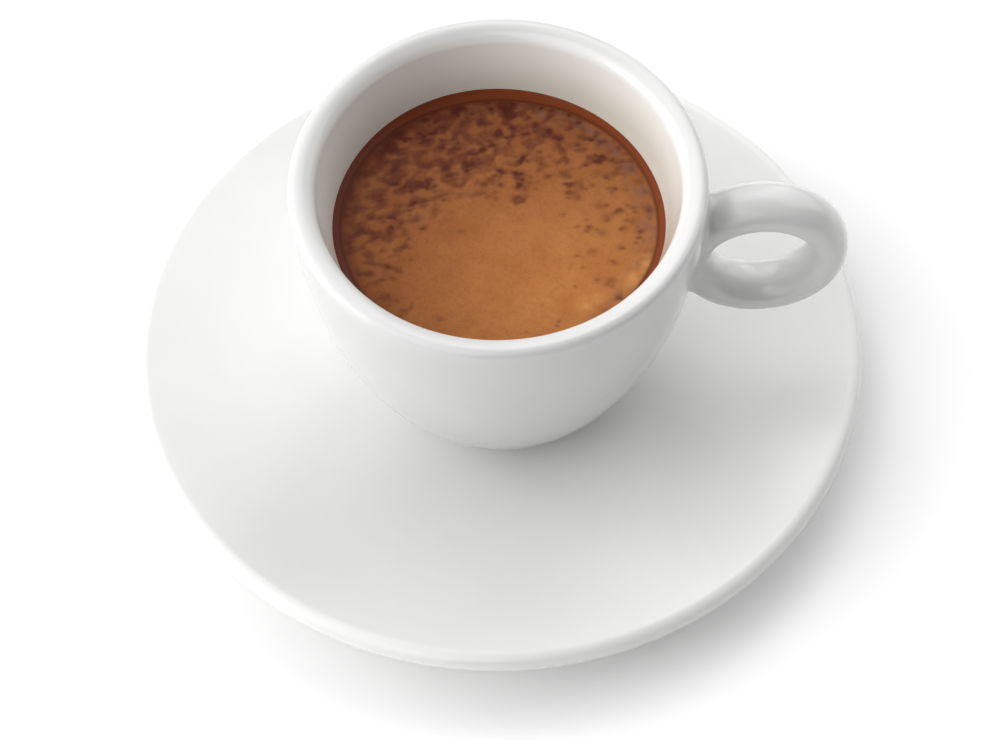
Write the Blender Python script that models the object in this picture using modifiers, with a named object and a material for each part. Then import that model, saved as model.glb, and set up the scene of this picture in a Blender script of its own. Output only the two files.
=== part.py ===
"""Espresso shot in its thick porcelain cup, standing on its saucer.

Units are metres and +Z is up. The origin is the middle of the saucer's foot, on the table.
The cup's ring handle points to +X. The cup, with its handle, the saucer, the coffee and the
crema on top of it are separate solids.
"""

import math

import bpy

MM = 0.001

# Saucer
SAUCER_RADIUS = 60.0 * MM
EDGE_THICKNESS = 3.8 * MM
EDGE_HEIGHT = 10.8 * MM
EDGE_SLOPE = math.radians(17.0)
SEAT_RADIUS = 17.5 * MM
SEAT_HEIGHT = 4.5 * MM
UNDERSIDE_HEIGHT = 1.2 * MM
SAUCER_FOOT_OUTER = 30.5 * MM
SAUCER_FOOT_INNER = 27.0 * MM
SAUCER_FOOT_TOP = 2.0 * MM
SAUCER_FOOT_ROUNDING = 0.6 * MM

# Cup
CUP_OFFSET_X = 0.67 * MM
FIT_GAP = 0.3 * MM
CUP_BASE = SEAT_HEIGHT + FIT_GAP
RIM_RADIUS = 32.05 * MM
LIP_TOP_RADIUS = 30.7 * MM
LIP_TOP_HEIGHT = 56.4 * MM
LIP_INNER_ROUNDING = 2.8 * MM
BELLY_BASE_RADIUS = 12.8 * MM
BELLY_BEND = 1.89
BELLY_FULLNESS = 1.66
BELLY_START = 0.045
CUP_FOOT_RADIUS = 15.8 * MM
CUP_FOOT_INNER = 12.6 * MM
CUP_FOOT_ROUNDING = 0.6 * MM
CUP_FOOT_EASE = 0.25 * MM
CUP_FOOT_RECESS = 1.9 * MM
BOWL_FLOOR_HEIGHT = 11.5 * MM
BOWL_FLOOR_RADIUS = 6.0 * MM
BOWL_WALL_LEAN = math.radians(13.0)
BOWL_BEND = 1.2
BOWL_FULLNESS = 1.55

# Handle, a ring in the XZ plane, wider across than along its radius
RING_CENTRE_X = CUP_OFFSET_X + 40.95 * MM
RING_CENTRE_Z = 36.85 * MM
RING_RADIUS = 10.7 * MM
RING_HALF_DEPTH = 3.1 * MM
RING_HALF_WIDTH = 4.1 * MM

# Drink
DRINK_LEVEL = 45.4 * MM
CREMA_THICKNESS = 3.0 * MM

# Facets: the crowding powers put more of a wall's points where it bends most
TURN_STEPS = 72
RING_STEPS = 40
RING_SECTION_STEPS = 16
EDGE_STEPS = 8
DISH_STEPS = 8
UNDERSIDE_STEPS = 4
BOWL_STEPS = 9
BOWL_CROWDING = 1.5
BELLY_STEPS = 11
BELLY_CROWDING = 0.8
LIP_STEPS = 4
FOOT_STEPS = 2
MERGE_DISTANCE = 1e-6
QUARTER_TURN = math.pi / 2

# Finishes: linear colours, and how rough each surface is
PORCELAIN_WHITE = (0.86, 0.86, 0.84, 1.0)
GLAZE_ROUGHNESS = 0.08
CREMA_BROWN = (0.36, 0.14, 0.04, 1.0)
CREMA_ROUGHNESS = 0.35
COFFEE_BROWN = (0.045, 0.012, 0.004, 1.0)
COFFEE_ROUGHNESS = 0.1


def arc(centre_r, centre_z, radius, start, end, steps):
    """Points on a circular arc in the profile plane, from angle start to angle end."""
    points = []
    for step in range(steps + 1):
        angle = start + (end - start) * step / steps
        points.append((centre_r + radius * math.cos(angle), centre_z + radius * math.sin(angle)))
    return points


def power_curve(start, end, end_slope, steps):
    """Points on a curve that leaves start level and reaches end at the slope end_slope."""
    run = end[0] - start[0]
    rise = end[1] - start[1]
    power = math.tan(end_slope) * run / rise
    return [
        (start[0] + run * step / steps, start[1] + rise * (step / steps) ** power)
        for step in range(steps + 1)
    ]


def bowl_radius(share, base_radius, top_radius, bend, fullness):
    """Radius of a bowl at a share of its height: it spreads level at the base and ends upright."""
    return base_radius + (top_radius - base_radius) * (1 - (1 - share) ** bend) ** (1 / fullness)


def foot_ring(outer, inner, base, rounding):
    """Section of a foot ring that stands on base, from its outer side under to its inner side."""
    height = base + rounding
    outer_corner = arc(outer - rounding, height, rounding, 0, -QUARTER_TURN, FOOT_STEPS)
    inner_corner = arc(inner + rounding, height, rounding, -QUARTER_TURN, -math.pi, FOOT_STEPS)
    return outer_corner + inner_corner


def saucer_profile():
    """Half section of the saucer, from its seat out over the edge and back along the underside."""
    half = EDGE_THICKNESS / 2
    top_angle = QUARTER_TURN + EDGE_SLOPE
    edge = arc(SAUCER_RADIUS - half, EDGE_HEIGHT, half, top_angle, top_angle - math.pi, EDGE_STEPS)
    dish = power_curve((SEAT_RADIUS, SEAT_HEIGHT), edge[0], EDGE_SLOPE, DISH_STEPS)
    foot_side = SAUCER_FOOT_OUTER + SAUCER_FOOT_ROUNDING
    under = power_curve((foot_side, SAUCER_FOOT_TOP), edge[-1], EDGE_SLOPE, UNDERSIDE_STEPS)
    foot = foot_ring(SAUCER_FOOT_OUTER, SAUCER_FOOT_INNER, 0.0, SAUCER_FOOT_ROUNDING)
    centre = [(SAUCER_FOOT_INNER, UNDERSIDE_HEIGHT), (0.0, UNDERSIDE_HEIGHT)]
    return [(0.0, SEAT_HEIGHT)] + dish[:-1] + edge + under[-2::-1] + foot + centre


def bowl_wall():
    """Inner wall of the cup, from the floor of the bowl up to the start of the lip."""
    start = lip_inner_arc()[0]
    points = [(BOWL_FLOOR_RADIUS, BOWL_FLOOR_HEIGHT)]
    for step in range(1, BOWL_STEPS + 1):
        share = (step / BOWL_STEPS) ** BOWL_CROWDING
        radius = bowl_radius(share, BOWL_FLOOR_RADIUS, start[0], BOWL_BEND, BOWL_FULLNESS)
        points.append((radius, BOWL_FLOOR_HEIGHT + share * (start[1] - BOWL_FLOOR_HEIGHT)))
    return points


def lip_inner_arc():
    """Inner rounding of the lip, from the leaning wall to the top."""
    centre_z = LIP_TOP_HEIGHT - LIP_INNER_ROUNDING
    start = math.pi - BOWL_WALL_LEAN
    return arc(LIP_TOP_RADIUS, centre_z, LIP_INNER_ROUNDING, start, QUARTER_TURN, LIP_STEPS)


def cup_profile():
    """Half section of the cup, from the floor of the bowl over the lip and down to its foot."""
    outer_rounding = RIM_RADIUS - LIP_TOP_RADIUS
    rim_height = LIP_TOP_HEIGHT - outer_rounding
    lip_outer = arc(LIP_TOP_RADIUS, rim_height, outer_rounding, QUARTER_TURN, 0, LIP_STEPS)
    belly = []
    for step in range(1, BELLY_STEPS + 1):
        share = 1 - (1 - BELLY_START) * (step / BELLY_STEPS) ** BELLY_CROWDING
        radius = bowl_radius(share, BELLY_BASE_RADIUS, RIM_RADIUS, BELLY_BEND, BELLY_FULLNESS)
        belly.append((radius, CUP_BASE + share * (rim_height - CUP_BASE)))
    waist = belly[-1][1] - CUP_FOOT_ROUNDING
    neck = [(CUP_FOOT_RADIUS + CUP_FOOT_EASE, waist), (CUP_FOOT_RADIUS, waist - CUP_FOOT_EASE)]
    foot = foot_ring(CUP_FOOT_RADIUS, CUP_FOOT_INNER, CUP_BASE, CUP_FOOT_ROUNDING)
    recess = CUP_BASE + CUP_FOOT_RECESS
    centre = [(CUP_FOOT_INNER - CUP_FOOT_ROUNDING, recess - CUP_FOOT_EASE), (0.0, recess)]
    inside = [(0.0, BOWL_FLOOR_HEIGHT)] + bowl_wall()[:-1] + lip_inner_arc()
    return inside + lip_outer[1:] + belly + neck + foot + centre


def wall_radius(height):
    """Inner radius of the bowl at a height, read between the points of its wall."""
    wall = bowl_wall()
    for (low_r, low_z), (high_r, high_z) in zip(wall, wall[1:]):
        if low_z <= height <= high_z:
            return low_r + (high_r - low_r) * (height - low_z) / (high_z - low_z)
    return wall[-1][0]


def drink_profile(low, high):
    """Half section of a layer of the drink between two heights, a gap clear of the bowl."""
    side = [(wall_radius(high) - FIT_GAP, high)]
    for radius, height in reversed(bowl_wall()):
        raised = height + FIT_GAP
        if low <= raised < high - FIT_GAP:
            side.append((radius - FIT_GAP, raised))
    if side[-1][1] > low:
        side.append((wall_radius(low - FIT_GAP) - FIT_GAP, low))
    return [(0.0, high)] + side + [(0.0, low)]


def principled(name, colour, roughness):
    """A Principled material with one colour."""
    material = bpy.data.materials.new(name)
    material.use_nodes = True
    shader = material.node_tree.nodes["Principled BSDF"]
    shader.inputs["Base Color"].default_value = colour
    shader.inputs["Roughness"].default_value = roughness
    shader.inputs["Metallic"].default_value = 0.0
    material.diffuse_color = colour
    return material


def turned(name, profile, collection, material, offset_x=0.0):
    """A solid turned about the Z axis from a half section."""
    mesh = bpy.data.meshes.new(name)
    edges = [(index, index + 1) for index in range(len(profile) - 1)]
    mesh.from_pydata([(radius, 0.0, height) for radius, height in profile], edges, [])
    turned_object = bpy.data.objects.new(name, mesh)
    turned_object.location.x = offset_x
    mesh.materials.append(material)
    collection.objects.link(turned_object)
    screw = turned_object.modifiers.new("turn", "SCREW")
    screw.axis = "Z"
    screw.angle = 2 * math.pi
    screw.steps = TURN_STEPS
    screw.render_steps = TURN_STEPS
    screw.use_merge_vertices = True
    screw.merge_threshold = MERGE_DISTANCE
    screw.use_smooth_shade = True
    return turned_object


def ring_handle(collection, material):
    """The ring that is joined to the cup: a torus stretched across its plane."""
    bpy.ops.mesh.primitive_torus_add(
        major_segments=RING_STEPS,
        minor_segments=RING_SECTION_STEPS,
        major_radius=RING_RADIUS,
        minor_radius=RING_HALF_DEPTH,
        location=(RING_CENTRE_X, 0.0, RING_CENTRE_Z),
        rotation=(QUARTER_TURN, 0.0, 0.0),
    )
    ring = bpy.context.object
    ring.name = "handle_ring"
    ring.scale.z = RING_HALF_WIDTH / RING_HALF_DEPTH
    bpy.ops.object.transform_apply(location=False, rotation=True, scale=True)
    ring.data.materials.append(material)
    ring.data.shade_smooth()
    for owner in list(ring.users_collection):
        owner.objects.unlink(ring)
    collection.objects.link(ring)
    ring.hide_render = True
    ring.display_type = "WIRE"
    return ring


def join_ring(cup, ring):
    """Fuses the ring with the wall of the cup, so that the cup is one piece."""
    union = cup.modifiers.new("handle", "BOOLEAN")
    union.operation = "UNION"
    union.solver = "EXACT"
    union.object = ring


def clear_scene():
    """Removes every object of the open scene."""
    for old in list(bpy.data.objects):
        bpy.data.objects.remove(old, do_unlink=True)


def new_collection(name):
    """A collection linked to the scene."""
    collection = bpy.data.collections.new(name)
    bpy.context.scene.collection.children.link(collection)
    return collection


def main():
    """Builds the saucer, the cup with its handle, the coffee and the crema."""
    clear_scene()
    parts = new_collection("espresso_shot")
    helpers = new_collection("joined_shapes")
    porcelain = principled("porcelain", PORCELAIN_WHITE, GLAZE_ROUGHNESS)
    coffee = principled("coffee", COFFEE_BROWN, COFFEE_ROUGHNESS)
    foam = principled("crema", CREMA_BROWN, CREMA_ROUGHNESS)

    turned("saucer", saucer_profile(), parts, porcelain)
    cup = turned("cup", cup_profile(), parts, porcelain, CUP_OFFSET_X)
    join_ring(cup, ring_handle(helpers, porcelain))

    foam_base = DRINK_LEVEL - CREMA_THICKNESS
    drink_floor = BOWL_FLOOR_HEIGHT + FIT_GAP
    turned("espresso", drink_profile(drink_floor, foam_base - FIT_GAP), parts, coffee, CUP_OFFSET_X)
    turned("crema", drink_profile(foam_base, DRINK_LEVEL), parts, foam, CUP_OFFSET_X)


main()
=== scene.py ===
"""Looks of an espresso shot in its porcelain cup, which stands on its saucer.

Everything is in metres and +Z is up. The middle of the saucer's foot is at the origin, and the
cup's ring handle points to +X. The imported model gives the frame, and the pieces made here are
finer surfaces of the same forms: the saucer, the cup with its ring, the coffee and the crema.
"""

import sys

import logging
import math
from dataclasses import dataclass
from enum import Enum
from typing import Any

import bmesh
import bpy
import numpy as np
from mathutils import Matrix
from numpy.typing import NDArray


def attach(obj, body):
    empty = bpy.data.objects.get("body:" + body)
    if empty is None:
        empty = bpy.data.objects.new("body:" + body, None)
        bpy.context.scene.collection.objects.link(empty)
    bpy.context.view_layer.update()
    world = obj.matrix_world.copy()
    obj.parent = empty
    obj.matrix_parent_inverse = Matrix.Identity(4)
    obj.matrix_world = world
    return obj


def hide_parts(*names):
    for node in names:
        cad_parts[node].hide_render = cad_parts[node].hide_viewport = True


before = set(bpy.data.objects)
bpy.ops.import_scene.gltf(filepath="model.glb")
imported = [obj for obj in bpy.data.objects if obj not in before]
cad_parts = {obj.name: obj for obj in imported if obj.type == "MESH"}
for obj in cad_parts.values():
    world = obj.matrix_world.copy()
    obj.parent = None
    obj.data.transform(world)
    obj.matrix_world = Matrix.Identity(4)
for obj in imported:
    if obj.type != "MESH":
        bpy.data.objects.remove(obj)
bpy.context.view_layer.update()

log = logging.getLogger("espresso")

Array = NDArray[np.float64]
Places = NDArray[np.complex128]
Numbers = NDArray[np.int64]
Pair = tuple[float, float]
Triple = tuple[float, float, float]
Colour = Triple
Socket = bpy.types.NodeSocket

MM = 0.001
FULL_TURN = 2 * math.pi
QUARTER_TURN = math.pi / 2
BODY = "root"


class Slot(Enum):
    """The record's material slots."""

    SAUCER = "saucer_porcelain"
    CUP = "cup_porcelain"
    COFFEE = "coffee"
    CREMA = "crema"


class Paint(Enum):
    """Values that the crema's mesh carries at its points."""

    FLECK = "fleck"
    VEIL = "veil"
    # painted reflection beyond the ring
    SHEEN = "sheen"
    FROTH = "froth"
    RING = "ring"
    # painted light on the ring's lit side
    GLOW = "glow"
    LINE = "line"


# Curves


def full_turn(steps: int) -> Array:
    """Evenly spaced angles once round a circle, in radians."""
    return np.linspace(0, FULL_TURN, steps, endpoint=False)


def arc(centre: Pair, radius: float, start: float, end: float, steps: int) -> Array:
    """Arc of a circle between two angles: its centre plus radius times their cosine and sine."""
    angle = np.linspace(start, end, steps + 1)
    return np.column_stack((centre[0] + radius * np.cos(angle), centre[1] + radius * np.sin(angle)))


def power_curve(start: Array, end: Array, end_slope: float, steps: int) -> Array:
    """Points on a curve that leaves start level and reaches end at a slope.

    The height rises as a power of the share of the way, and the power is the tangent of the
    end slope times run over rise.

    Args:
        start: First point, as radius and height.
        end: Last point.
        end_slope: Slope at the last point, in radians.
        steps: Number of steps between them.

    Returns:
        One row of radius and height for each point.
    """
    run, rise = end - start
    share = np.linspace(0, 1, steps + 1)
    power = math.tan(end_slope) * run / rise
    return np.column_stack((start[0] + run * share, start[1] + rise * share**power))


def rounded_corner(start: Array, corner: Array, end: Array, steps: int) -> Array:
    """Cubic Bezier curve from start to end whose two handles both lie on a corner."""
    share = np.linspace(0, 1, steps + 1)[:, None]
    return (1 - share) ** 3 * start + 3 * (1 - share) * share * corner + share**3 * end


def foot_ring(outer: float, inner: float, base: float, rounding: float) -> Array:
    """Lower part of a foot ring's section: a quarter arc at each of its two corners.

    Args:
        outer: Outer radius of the ring.
        inner: Inner radius of the ring.
        base: Height of the surface that it stands on.
        rounding: Radius of its corners.

    Returns:
        One row of radius and height for each point, from the outer side to the inner one.
    """
    low = base + rounding
    outer_corner = arc((outer - rounding, low), rounding, 0, -QUARTER_TURN, steps=6)
    inner_corner = arc((inner + rounding, low), rounding, -QUARTER_TURN, -math.pi, steps=6)
    return np.vstack((outer_corner, inner_corner))


def bowl_radius(share: Array, base: float, top: float, bend: float, fullness: float) -> Array:
    """Radius of a bowl at shares of its height: (1 - (1 - share)^bend)^(1 / fullness) from base to top."""
    return base + (top - base) * (1 - (1 - share) ** bend) ** (1 / fullness)


def eased(value: Array, low: float | Array, high: float | Array) -> Array:
    """Smooth step from 0 at low to 1 at high, along 3t^2 - 2t^3."""
    share = np.clip((value - low) / (high - low), 0, 1)
    return share * share * (3 - 2 * share)


def bell(away: Array, reach: float) -> Array:
    """Bell of height 1, which falls as e to the power of less the square of away over reach."""
    return np.exp(-((away / reach) ** 2))


def facing(turn: Array, side: float) -> Array:
    """How far directions face a side: one half plus half the cosine of the angle from it."""
    return 0.5 + 0.5 * np.cos(turn - side)


# Surfaces


def joined(x: Array, y: Array | float, z: Array | float) -> Array:
    """Points from their three coordinates, one row for each point."""
    return np.stack(np.broadcast_arrays(x, y, z), axis=-1).reshape(-1, 3)


def flipped(faces: Numbers) -> Numbers:
    """The same faces, going round their corners the other way."""
    return np.roll(faces[:, ::-1], 1, axis=1)


def squares(number: Numbers) -> Numbers:
    """Four-sided faces between the neighbouring points of a grid of point numbers."""
    corners = (number[:-1, :-1], number[:-1, 1:], number[1:, 1:], number[1:, :-1])
    return np.stack(corners, axis=-1).reshape(-1, 4)


def tube(number: Numbers) -> Numbers:
    """Four-sided faces between closed rings, each a row of point numbers, the upper one first."""
    return flipped(squares(np.pad(number, ((0, 0), (0, 1)), mode="wrap")))


def fan(middle: int, ring: Numbers) -> Numbers:
    """Three-sided faces between a middle point and a closed ring of point numbers."""
    return np.stack((np.full(len(ring), middle), ring, np.roll(ring, -1)), axis=-1)


@dataclass(frozen=True)
class Surface:
    """Points, and blocks of faces that join them."""

    points: Array  # one row of x, y and z for each point
    faces: list[Numbers]  # blocks with one row of point numbers for each face

    def piece(self, name: str) -> bpy.types.Object:
        """Makes a smooth-shaded object of this surface, at the origin.

        Args:
            name: Name of the object and of its mesh.

        Returns:
            The object, linked to the scene.
        """
        corners = np.concatenate([block.ravel() for block in self.faces])
        sides = np.concatenate([np.full(len(block), block.shape[1]) for block in self.faces])
        mesh = bpy.data.meshes.new(name)
        mesh.vertices.add(len(self.points))
        mesh.vertices.foreach_set("co", self.points.astype(np.float32).ravel())
        mesh.loops.add(len(corners))
        mesh.loops.foreach_set("vertex_index", corners.astype(np.int32))
        mesh.polygons.add(len(sides))
        mesh.polygons.foreach_set("loop_start", (np.cumsum(sides) - sides).astype(np.int32))
        mesh.update(calc_edges=True)
        mesh.shade_smooth()
        piece = bpy.data.objects.new(name, mesh)
        bpy.context.scene.collection.objects.link(piece)
        return piece


def turned(profile: Array, angles: Array, axis_x: float = 0.0) -> Surface:
    """A solid turned about an upright axis from half its section.

    Each point of the section goes round a circle: its radius times cosine and sine of the
    angle, at its own height. The section's two ends lie on the axis and close the solid.

    Args:
        profile: Rows of radius and height, from the upper end on the axis out and round.
        angles: Angles round the axis, in radians, rising.
        axis_x: Where the axis crosses the X axis.

    Returns:
        The closed surface, its faces pointing out.
    """
    radius, height = profile[1:-1, :1], profile[1:-1, 1:]
    rings = joined(axis_x + radius * np.cos(angles), radius * np.sin(angles), height)
    ends = joined(axis_x, 0.0, profile[[0, -1], 1])
    number = np.arange(len(rings)).reshape(len(radius), len(angles))
    upper, lower = fan(len(rings), number[0]), flipped(fan(len(rings) + 1, number[-1]))
    return Surface(np.vstack((rings, ends)), [tube(number), upper, lower])


# Noise, at places that are complex numbers, x from the cup's axis plus y times i


NOISE_PERIOD = 64


def slope_noise(place: Places, seed: int) -> Array:
    """Smooth noise with cells one unit wide, repeating after NOISE_PERIOD cells.

    Each whole-number point has a random slope, and a place between four of them takes their
    four slopes' heights, weighted by 6t^5 - 15t^4 + 10t^3 each way.

    Args:
        place: Places, counted in cells.
        seed: Seed of the random slopes.

    Returns:
        Values that lie mostly between -1 and 1.
    """
    turn = np.random.default_rng(seed).random((NOISE_PERIOD, NOISE_PERIOD)) * FULL_TURN
    column, row = np.floor(place.real).astype(int), np.floor(place.imag).astype(int)
    along, across = place.real - column, place.imag - row

    def height(right: int, up: int) -> Array:
        """Height at the place of the slope that belongs to one corner of its cell."""
        angle = turn[(row + up) % NOISE_PERIOD, (column + right) % NOISE_PERIOD]
        return np.cos(angle) * (along - right) + np.sin(angle) * (across - up)

    ease_x, ease_y = (share**3 * (share * (share * 6 - 15) + 10) for share in (along, across))
    low = height(0, 0) * (1 - ease_x) + height(1, 0) * ease_x
    high = height(0, 1) * (1 - ease_x) + height(1, 1) * ease_x
    return 1.5 * (low * (1 - ease_y) + high * ease_y)


@dataclass(frozen=True)
class Pattern:
    """Smooth noise over the foam, a sum of layers."""

    cell: float  # width of the first layer's cells
    seed: int  # of the first layer; the next ones take the next seeds
    shift: complex = 0.0  # cells by which it is moved
    layers: int = 1  # each with cells half as wide as the last
    fading: float = 0.55  # strength of a layer over that of the last

    def at(self, place: Places) -> Array:
        """The noise at places on the foam.

        Args:
            place: The places.

        Returns:
            Values that lie mostly between -1 and 1.
        """
        total = np.zeros(place.shape)
        for layer in range(self.layers):
            cells = (place / self.cell + self.shift) * 2**layer
            total += slope_noise(cells, self.seed + layer) * self.fading**layer
        return total


# Finishes


MOST_NOISE = (0.3, 0.7)  # range that holds most of a noise node's values


class Shader:
    """A material's node tree, with short ways to add nodes and join them."""

    def __init__(self, name: str) -> None:
        """Starts a material with a Principled shader and the object's own coordinates.

        Args:
            name: The material's name.
        """
        self.material = bpy.data.materials.new(name)
        self.material.use_nodes = True
        self.tree = self.material.node_tree
        self.surface = self.tree.nodes["Principled BSDF"]
        self.place = self.tree.nodes.new("ShaderNodeTexCoord").outputs["Object"]

    def feed(self, socket: Socket, value: Any) -> None:
        """Joins an input to an output, or sets it to a constant.

        Args:
            socket: The input.
            value: The output or the constant.
        """
        if isinstance(value, Socket):
            self.tree.links.new(value, socket)
        else:
            socket.default_value = value

    def node(self, kind: str, inputs: dict[str | int, Any], **settings: Any) -> bpy.types.Node:
        """Adds a node.

        Args:
            kind: The node's type, without the words ShaderNode.
            inputs: Outputs or constants for its inputs, by name or number.
            settings: Values of its properties.

        Returns:
            The new node.
        """
        added = self.tree.nodes.new("ShaderNode" + kind)
        for name, value in settings.items():
            setattr(added, name, value)
        for name, value in inputs.items():
            self.feed(added.inputs[name], value)
        return added

    def set(self, **values: Any) -> None:
        """Sets or joins inputs of the surface shader, underscores standing for spaces."""
        for name, value in values.items():
            self.feed(self.surface.inputs[name.replace("_", " ")], value)

    def along(self, axis: str) -> Socket:
        """The place on the piece along one axis."""
        return self.node("SeparateXYZ", {0: self.place}).outputs[axis]

    def noise(self, scale: float, detail: float = 2.0, roughness: float = 0.5) -> Socket:
        """Noise over the piece, with scale in waves for each metre."""
        inputs = {"Vector": self.place, "Scale": scale, "Detail": detail, "Roughness": roughness}
        return self.node("TexNoise", inputs).outputs["Fac"]

    def cells(self, scale: float, smoothness: float) -> Socket:
        """Distance from the middle of rounded cells, with scale in cells for each metre."""
        inputs = {"Vector": self.place, "Scale": scale, "Smoothness": smoothness}
        return self.node("TexVoronoi", inputs, feature="SMOOTH_F1").outputs["Distance"]

    def painted(self, paint: Paint) -> Socket:
        """A value that the piece's mesh carries at its points."""
        return self.node("Attribute", {}, attribute_name=paint.value).outputs["Fac"]

    def ranged(self, value: Socket, old: Pair, new: Pair = (0.0, 1.0)) -> Socket:
        """The value, moved from an old range to a new one and held inside it."""
        inputs = {"Value": value, 1: old[0], 2: old[1], 3: new[0], 4: new[1]}
        return self.node("MapRange", inputs).outputs["Result"]

    def math(self, operation: str, first: Socket, second: Socket | float) -> Socket:
        """Two values, put together by an arithmetic operation."""
        return self.node("Math", {0: first, 1: second}, operation=operation).outputs["Value"]

    def mixed(self, share: Socket, first: Colour | Socket, second: Colour | Socket) -> Socket:
        """A colour between two colours.

        Args:
            share: Share of the second colour.
            first: The first colour.
            second: The second colour.

        Returns:
            The colour.
        """
        sides = [(*side, 1.0) if isinstance(side, tuple) else side for side in (first, second)]
        inputs = {"Factor": share, 6: sides[0], 7: sides[1]}
        return self.node("Mix", inputs, data_type="RGBA").outputs[2]

    def bump(self, height: Socket, distance: float, under: Socket | None = None) -> Socket:
        """Slants the surface as if it had relief.

        Args:
            height: The relief, from 0 to 1.
            distance: Height of the relief in metres.
            under: Another relief's output that this one is added to.

        Returns:
            The slanted normal.
        """
        inputs = {"Height": height, "Distance": distance}
        if under is not None:
            inputs["Normal"] = under
        return self.node("Bump", inputs).outputs["Normal"]


@dataclass(frozen=True)
class BowlShading:
    """Painted light and shade on the glaze inside the cup: lighter at the lip, darker and browner towards
    the drink.
    """

    axis_x: float = 0.67 * MM  # where the bowl's axis crosses the X axis
    radius: float = 29.4 * MM  # within which the bowl lies
    fade: float = 1.8 * MM  # width over which the tone ends there
    hidden: Pair = (37.6 * MM, 39.6 * MM)  # heights between which it sets in, under the drink
    low: float = 45.6 * MM  # the coffee's edge
    high: float = 54.6 * MM  # height at which the painted shade ends
    tilt: float = 0.08  # rise of the painted shade for each metre towards the ring
    uneven: Pair = (0.94, 1.06)  # strength of the painted shade at the clouds' lows and highs
    lit_colour: Colour = (0.84, 0.85, 0.825)  # painted light at the lip
    shaded_colour: Colour = (0.55, 0.525, 0.465)  # painted shade at the coffee's edge

    def over(self, shader: Shader, glaze: Socket, clouds: Socket) -> Socket:
        """The glaze's colour with this painted light and shade inside the bowl.

        Args:
            shader: The glaze's material.
            glaze: Colour of the glaze outside the bowl.
            clouds: Slow noise, which makes the painted shade uneven.

        Returns:
            The colour everywhere.
        """
        level = shader.node("VectorMath", {0: shader.place, 1: (1.0, 1.0, 0.0)}, operation="MULTIPLY")
        inputs = {0: level.outputs["Vector"], 1: (self.axis_x, 0.0, 0.0)}
        away = shader.node("VectorMath", inputs, operation="DISTANCE").outputs["Value"]
        within = shader.ranged(away, (self.radius - self.fade, self.radius), (1.0, 0.0))
        height = shader.along("Z")
        above = shader.ranged(height, self.hidden)
        tilted = shader.math("SUBTRACT", height, shader.math("MULTIPLY", shader.along("X"), self.tilt))
        # Painted shade: darker and browner from the lip down to the coffee's edge
        painted_light = shader.ranged(tilted, (self.low, self.high), (1.0, 0.0))
        painted_light = shader.math("MULTIPLY", painted_light, shader.ranged(clouds, Glaze.cloud_range, self.uneven))
        tone = shader.mixed(painted_light, self.lit_colour, self.shaded_colour)
        return shader.mixed(shader.math("MULTIPLY", within, above), glaze, tone)


@dataclass(frozen=True)
class Glaze:
    """White glazed porcelain, bare and rough on the ring that it stands on."""

    light: Colour = (0.735, 0.732, 0.722)  # where the glaze is thin
    deep: Colour = (0.705, 0.704, 0.697)  # where it lies thicker
    cloud_range: Pair = (0.35, 0.65)  # noise values from thin to thick
    bare: Colour = (0.66, 0.63, 0.58)  # the unglazed ring
    bare_roughness: float = 0.7
    bare_below: float = 0.0  # height under which there is no glaze
    bare_edge: float = 0.15 * MM  # half the height over which it ends
    smoothest: float = 0.13  # least roughness
    dullest: float = 0.20  # most roughness
    waviness: float = 0.025 * MM  # height of the slow waves
    grain: float = 0.002 * MM  # height of the fine grain
    # Painted light and shade inside a cup's bowl, if given
    bowl: BowlShading | None = None

    def material(self, name: str) -> bpy.types.Material:
        """The glaze as a node material.

        Args:
            name: The material's name.

        Returns:
            The material.
        """
        shader = Shader(name)
        clouds = shader.noise(scale=38.0, detail=3.0)
        glaze = shader.mixed(shader.ranged(clouds, self.cloud_range), self.light, self.deep)
        # Inside a cup's bowl, the glaze takes painted light and shade
        if self.bowl is not None:
            glaze = self.bowl.over(shader, glaze, clouds)
        ends = (self.bare_below - self.bare_edge, self.bare_below + self.bare_edge)
        bare = shader.ranged(shader.along("Z"), ends, (1.0, 0.0))
        gloss = shader.ranged(shader.noise(scale=160.0), MOST_NOISE, (self.smoothest, self.dullest))
        waves = shader.bump(shader.noise(scale=85.0, detail=1.0), self.waviness)
        shader.set(
            Base_Color=shader.mixed(bare, glaze, self.bare),
            Roughness=shader.math("MAXIMUM", gloss, shader.math("MULTIPLY", bare, self.bare_roughness)),
            IOR=1.52,
            Normal=shader.bump(shader.noise(scale=2600.0), self.grain, waves),
        )
        return shader.material


@dataclass(frozen=True)
class CoffeeFinish:
    """Dark espresso, almost black in depth and red-brown where light comes through."""

    dark: Colour = (0.018, 0.006, 0.003)  # the depths
    warm: Colour = (0.05, 0.017, 0.008)  # the lighter clouds

    def material(self, name: str) -> bpy.types.Material:
        """The coffee as a node material.

        Args:
            name: The material's name.

        Returns:
            The material.
        """
        shader = Shader(name)
        clouds = shader.ranged(shader.noise(scale=140.0, detail=3.0), (0.35, 0.7))
        shader.set(
            Base_Color=shader.mixed(clouds, self.dark, self.warm),
            Roughness=shader.ranged(shader.noise(scale=300.0), MOST_NOISE, (0.05, 0.12)),
            IOR=1.34,
        )
        return shader.material


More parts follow.
